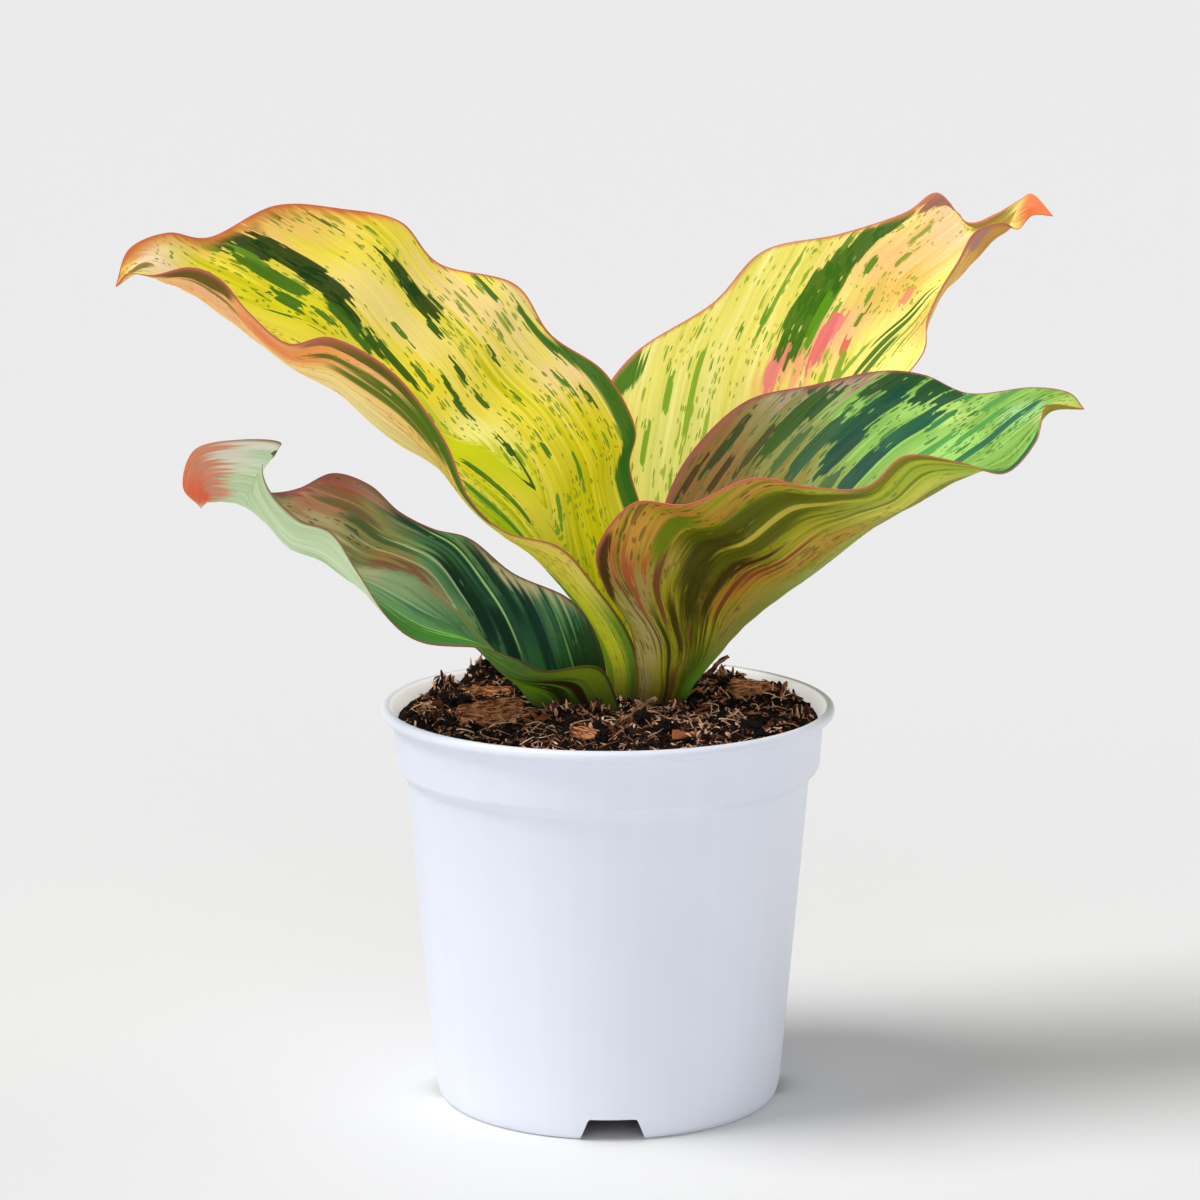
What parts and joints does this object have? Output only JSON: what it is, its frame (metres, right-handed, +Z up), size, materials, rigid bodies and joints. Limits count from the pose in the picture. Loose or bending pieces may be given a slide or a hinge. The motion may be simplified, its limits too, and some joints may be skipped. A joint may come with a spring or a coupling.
{
  "type": "potted peacock ginger",
  "caption": "House plant with broad wavy variegated leaves that rise from a crown in a round white nursery pot filled with dark soil.",
  "frame": {"origin": "middle of the pot's base, on the surface that the pot stands on", "axes": "+Z up, +X to the right across the widest spread of the leaves, -Y towards the viewer"},
  "size_m": [0.2722, 0.13, 0.2564],
  "materials": {
    "pot_plastic": "satin injection-moulded white",
    "soil": "loose dark bark and coir mix",
    "rootstock": "dry tan skin",
    "leaf_left_upper": "satin leaf, yellow with dark green flecks",
    "leaf_right_upper": "satin leaf, cream and peach with green flecks",
    "leaf_right_lower": "satin leaf, green and bronze streaks",
    "leaf_left_lower": "satin leaf, dark teal with pale veins",
    "bark": "rough split bark",
    "twig": "dry fibrous stick"
  },
  "bodies": {
    "root": {"pot": "pot_plastic", "soil": "soil", "rootstock": "rootstock", "leaf_left_upper": "leaf_left_upper", "leaf_right_upper": "leaf_right_upper", "leaf_right_lower": "leaf_right_lower", "leaf_left_lower": "leaf_left_lower", "bark_chip_front_left": "bark", "bark_chip_left": "bark", "bark_chip_right": "bark", "bark_chip_front": "bark", "twig_front": "twig", "twig_right": "twig", "twig_back": "twig"}
  },
  "joints": []
}
